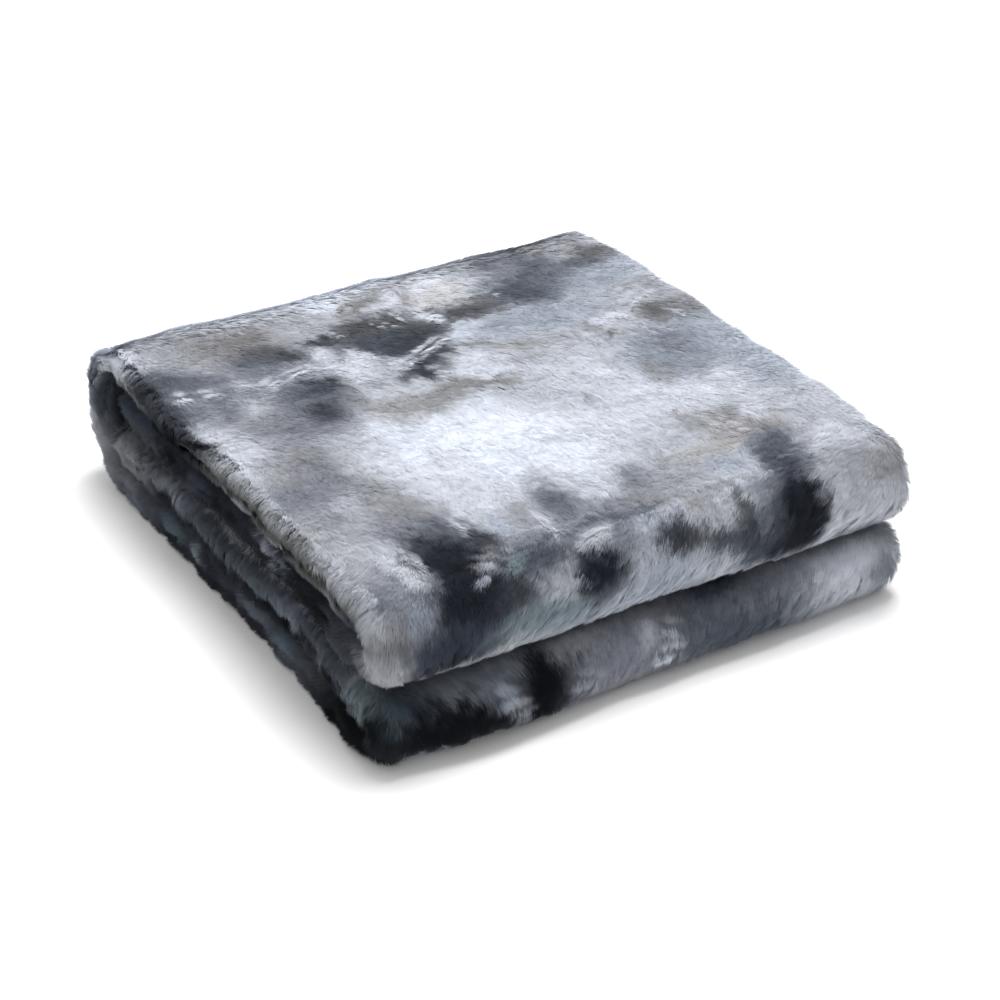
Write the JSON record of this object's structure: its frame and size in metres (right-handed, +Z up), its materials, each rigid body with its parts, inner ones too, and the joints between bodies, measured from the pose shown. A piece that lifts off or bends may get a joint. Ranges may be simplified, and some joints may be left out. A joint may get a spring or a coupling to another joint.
{
  "type": "folded fleece blanket",
  "caption": "Thick long-pile fleece blanket folded into a soft stack for display, with round folds at the front, a large round fold as its spine, and open layered ends.",
  "frame": {"origin": "on the surface that the folded blanket lies on, under the middle of its bounding box", "axes": "+Z up, +Y towards the spine at the back, -Y towards the round front folds, X along the folds"},
  "size_m": [0.4098, 0.4558, 0.1172],
  "materials": {
    "fleece": "long soft pile, matte, tie-dyed in charcoal, mid grey and ice white"
  },
  "bodies": {
    "root": {"blanket": "fleece"}
  },
  "joints": []
}
